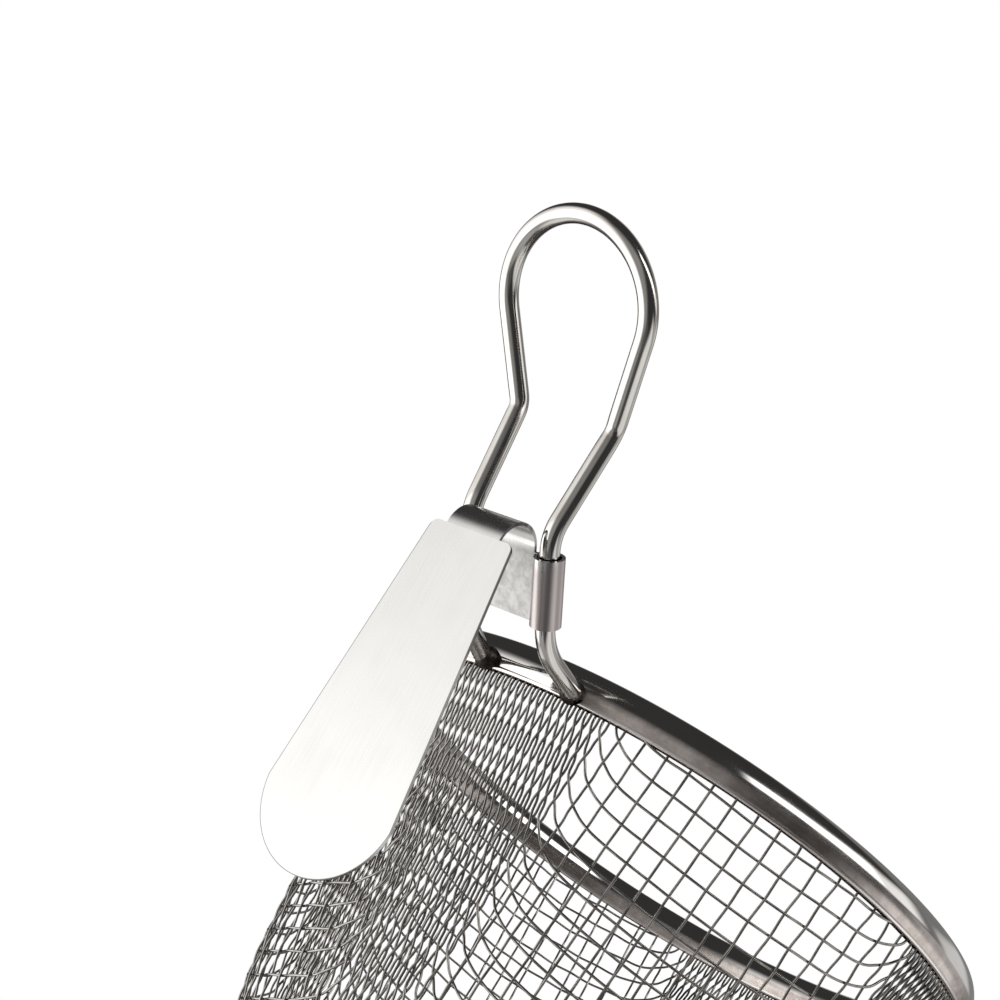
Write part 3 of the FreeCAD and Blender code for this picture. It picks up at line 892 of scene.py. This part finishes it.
def build_handle():
    """The bent wire, with the marks of the bending tool at the two pinched bends."""
    path, neck = handle_path()
    normal, binormal = carried_frames(path)
    place = np.concatenate([[0], np.cumsum(np.linalg.norm(np.diff(path, axis=0), axis=1))])
    radius = 0.5 * HANDLE_WIRE
    angle = np.arange(HANDLE_SIDES) * 2 * np.pi / HANDLE_SIDES
    across = np.stack([np.cos(angle), np.sin(angle)], -1)
    points, grain = [], []
    for k in range(len(path)):
        away = min(np.linalg.norm(path[k] - neck), np.linalg.norm(path[k] - neck * (1, -1, 1)))
        pinch = np.exp(-((away / PINCH_REACH) ** 2))
        inward = np.array([0.0, -np.sign(path[k][1]), 0.0])
        ring = across[:, :1] * normal[k] + across[:, 1:] * binormal[k]
        toward = np.abs(ring @ inward)
        size = radius * (1 - PINCH_DEPTH * pinch * toward**2)
        from_end = min(k, len(path) - 1 - k)
        if from_end < len(END_SIZES):
            size = size * END_SIZES[from_end]
        points.append(path[k] + ring * size[:, None])
        grain.append(np.column_stack([np.full(HANDLE_SIDES, place[k]), across * radius]))
    walls, ends = tube_faces(len(path), HANDLE_SIDES)
    faces = walls.tolist() + [ring.tolist() for ring in ends]
    obj = finished_piece("bent_wire", np.vstack(points), faces, HANDLE_SHARP)
    kept = obj.data.attributes.new("grain", "FLOAT_VECTOR", "POINT")
    kept.data.foreach_set("vector", np.vstack(grain).astype(np.float32).ravel())
    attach(obj, "basket")
    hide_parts("handle_wire")
    return obj


# ---- camera, floor, light ----
# The camera was fitted to the rim and the handle. Its place is from the middle of the rim's top,
# and its focal length is a share of the picture's width.
CAMERA_FROM_RIM = (0.3384, 0.2029, -0.1014)
CAMERA_FORWARD = (-0.7116, -0.6173, 0.3356)
CAMERA_DOWN = (-0.5845, 0.2551, -0.7702)
FOCAL = 1.9233
AIM_RIGHT = 0.0015
AIM_DOWN = 0.0003
SENSOR = 36
NEAR = 0.01
FAR = 100
FLOOR_HALF = 1.2
FLOOR_FADE = (0.3, 1.0)
FLOOR_TONES = ((0.86, 0.86, 0.86), (0.88, 0.88, 0.88))
FLOOR_ROUGH = 0.7


def make_camera():
    """The camera at the photograph's place."""
    forward = Vector(CAMERA_FORWARD).normalized()
    down = Vector(CAMERA_DOWN)
    right = down.cross(forward).normalized()
    forward = (forward + AIM_RIGHT * right + AIM_DOWN * down).normalized()
    right = down.cross(forward).normalized()
    down = forward.cross(right).normalized()
    data = bpy.data.cameras.new("camera")
    data.sensor_width = SENSOR
    data.lens = FOCAL * SENSOR
    data.clip_start = NEAR
    data.clip_end = FAR
    cam = bpy.data.objects.new("camera", data)
    bpy.context.scene.collection.objects.link(cam)
    place = Vector(CAMERA_FROM_RIM) + Vector((0, 0, RIM_TOP))
    rows = Matrix((right, -down, -forward)).transposed().to_4x4()
    cam.matrix_world = Matrix.Translation(place) @ rows
    bpy.context.scene.camera = cam


def make_floor():
    """A pale square, not mirrored in the steel, which mirrors the studio's panels instead."""
    mesh = bpy.data.meshes.new("floor")
    corners = [(FLOOR_HALF * x, FLOOR_HALF * y, 0) for x, y in ((-1, -1), (1, -1), (1, 1), (-1, 1))]
    mesh.from_pydata(corners, [], [(0, 1, 2, 3)])
    floor = bpy.data.objects.new("floor", mesh)
    floor.visible_glossy = False
    bpy.context.scene.collection.objects.link(floor)
    dress(floor, floor_material())


# Soft light panels of the studio, in degrees: the azimuths where each starts, is full, is still
# full and ends, the same for its elevations, and its brightness. Azimuths past 360 wrap round.
PANELS = (
    ((131, 140, 188, 206), (24, 28, 40, 45), 2.5),
    ((186, 200, 212, 228), (21, 27, 37, 45), 1.2),
    ((198, 212, 246, 262), (-4, 6, 17, 27), 0.5),
    ((226, 236, 258, 274), (12, 19, 29, 38), 0.75),
    ((206, 232, 300, 330), (0, 15, 66, 82), 0.25),
    ((337, 356, 418, 456), (-72, -56, -12, 14), 1.85),
    ((337, 356, 415, 450), (-40, -20, 2, 34), 1.25),
    ((60, 85, 116, 145), (-72, -60, -10, 30), 0.34),
    ((176, 200, 238, 254), (-66, -42, -6, 8), 0.95),
    ((175, 200, 240, 262), (-80, -66, -36, -20), 0.48),
    ((95, 120, 165, 185), (-78, -64, -48, -34), 0.11),
    ((20, 60, 112, 132), (-70, -60, 0, 16), 0.24),
    ((262, 300, 330, 360), (-80, -66, -44, -30), 0.9),
    ((262, 280, 325, 340), (32, 40, 60, 76), 0.5),
    ((-1, 0, 360, 361), (-91, -90, -74, -64), 0.45),
)
DARK_STUDIO = 0.042
FULL_TURN = 360.0


def make_world():
    """A white backdrop for the camera, and round the object a studio of white panels and dark
    gaps, which the polished steel mirrors."""
    world = bpy.data.worlds.new("studio")
    bpy.context.scene.world = world
    world.use_nodes = True
    graph = Graph(world.node_tree)
    back = world.node_tree.nodes["Background"]
    toward = graph.add("ShaderNodeTexCoord").outputs["Generated"]
    x, y, z = graph.add("ShaderNodeSeparateXYZ", toward).outputs
    turn = graph.math("ARCTAN2", x, graph.math("MULTIPLY", y, -1.0))
    azimuth = graph.math("ADD", graph.math("DEGREES", turn), FULL_TURN)
    azimuth = graph.math("MODULO", azimuth, FULL_TURN)
    elevation = graph.math("DEGREES", graph.math("ARCSINE", z))
    total = None
    for across, up, level in PANELS:
        turns = [azimuth]
        if across[3] > FULL_TURN + 1:
            turns.append(graph.math("ADD", azimuth, FULL_TURN))
        part = None
        for value in turns:
            inside = graph.math("MULTIPLY", graph.ramp(value, *across[:2]),
                                graph.ramp(value, across[3], across[2]))
            part = inside if part is None else graph.math("MAXIMUM", part, inside)
        part = graph.math("MULTIPLY", part, graph.ramp(elevation, *up[:2]))
        part = graph.math("MULTIPLY", part, graph.ramp(elevation, up[3], up[2]))
        part = graph.math("MULTIPLY", part, level)
        total = part if total is None else graph.math("MAXIMUM", total, part)
    total = graph.math("MAXIMUM", total, DARK_STUDIO)
    rays = graph.add("ShaderNodeLightPath").outputs
    seen = graph.math("MAXIMUM", rays["Is Camera Ray"], rays["Is Diffuse Ray"])
    strength = graph.add("ShaderNodeMix", seen, data_type="FLOAT")
    graph.feed(strength.inputs["A"], total)
    graph.feed(strength.inputs["B"], 1.0)
    back.inputs["Color"].default_value = (1, 1, 1, 1)
    graph.feed(back.inputs["Strength"], strength.outputs["Result"])
    bpy.context.scene.view_settings.view_transform = "Standard"


# ---- the scene ----
make_camera()
make_floor()
make_world()
cloth_steel = cloth_material()
for piece in build_cloth():
    dress(piece, cloth_steel)
dress(build_rim(), rim_material())
dress(build_handle(), handle_material())
dress(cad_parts["rim_core_wire"], core_material())
dress(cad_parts["hanging_clip"], clip_material())
weld_steel = weld_material()
for name in ("foot_weld_left", "foot_weld_right"):
    dress(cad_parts[name], weld_steel)
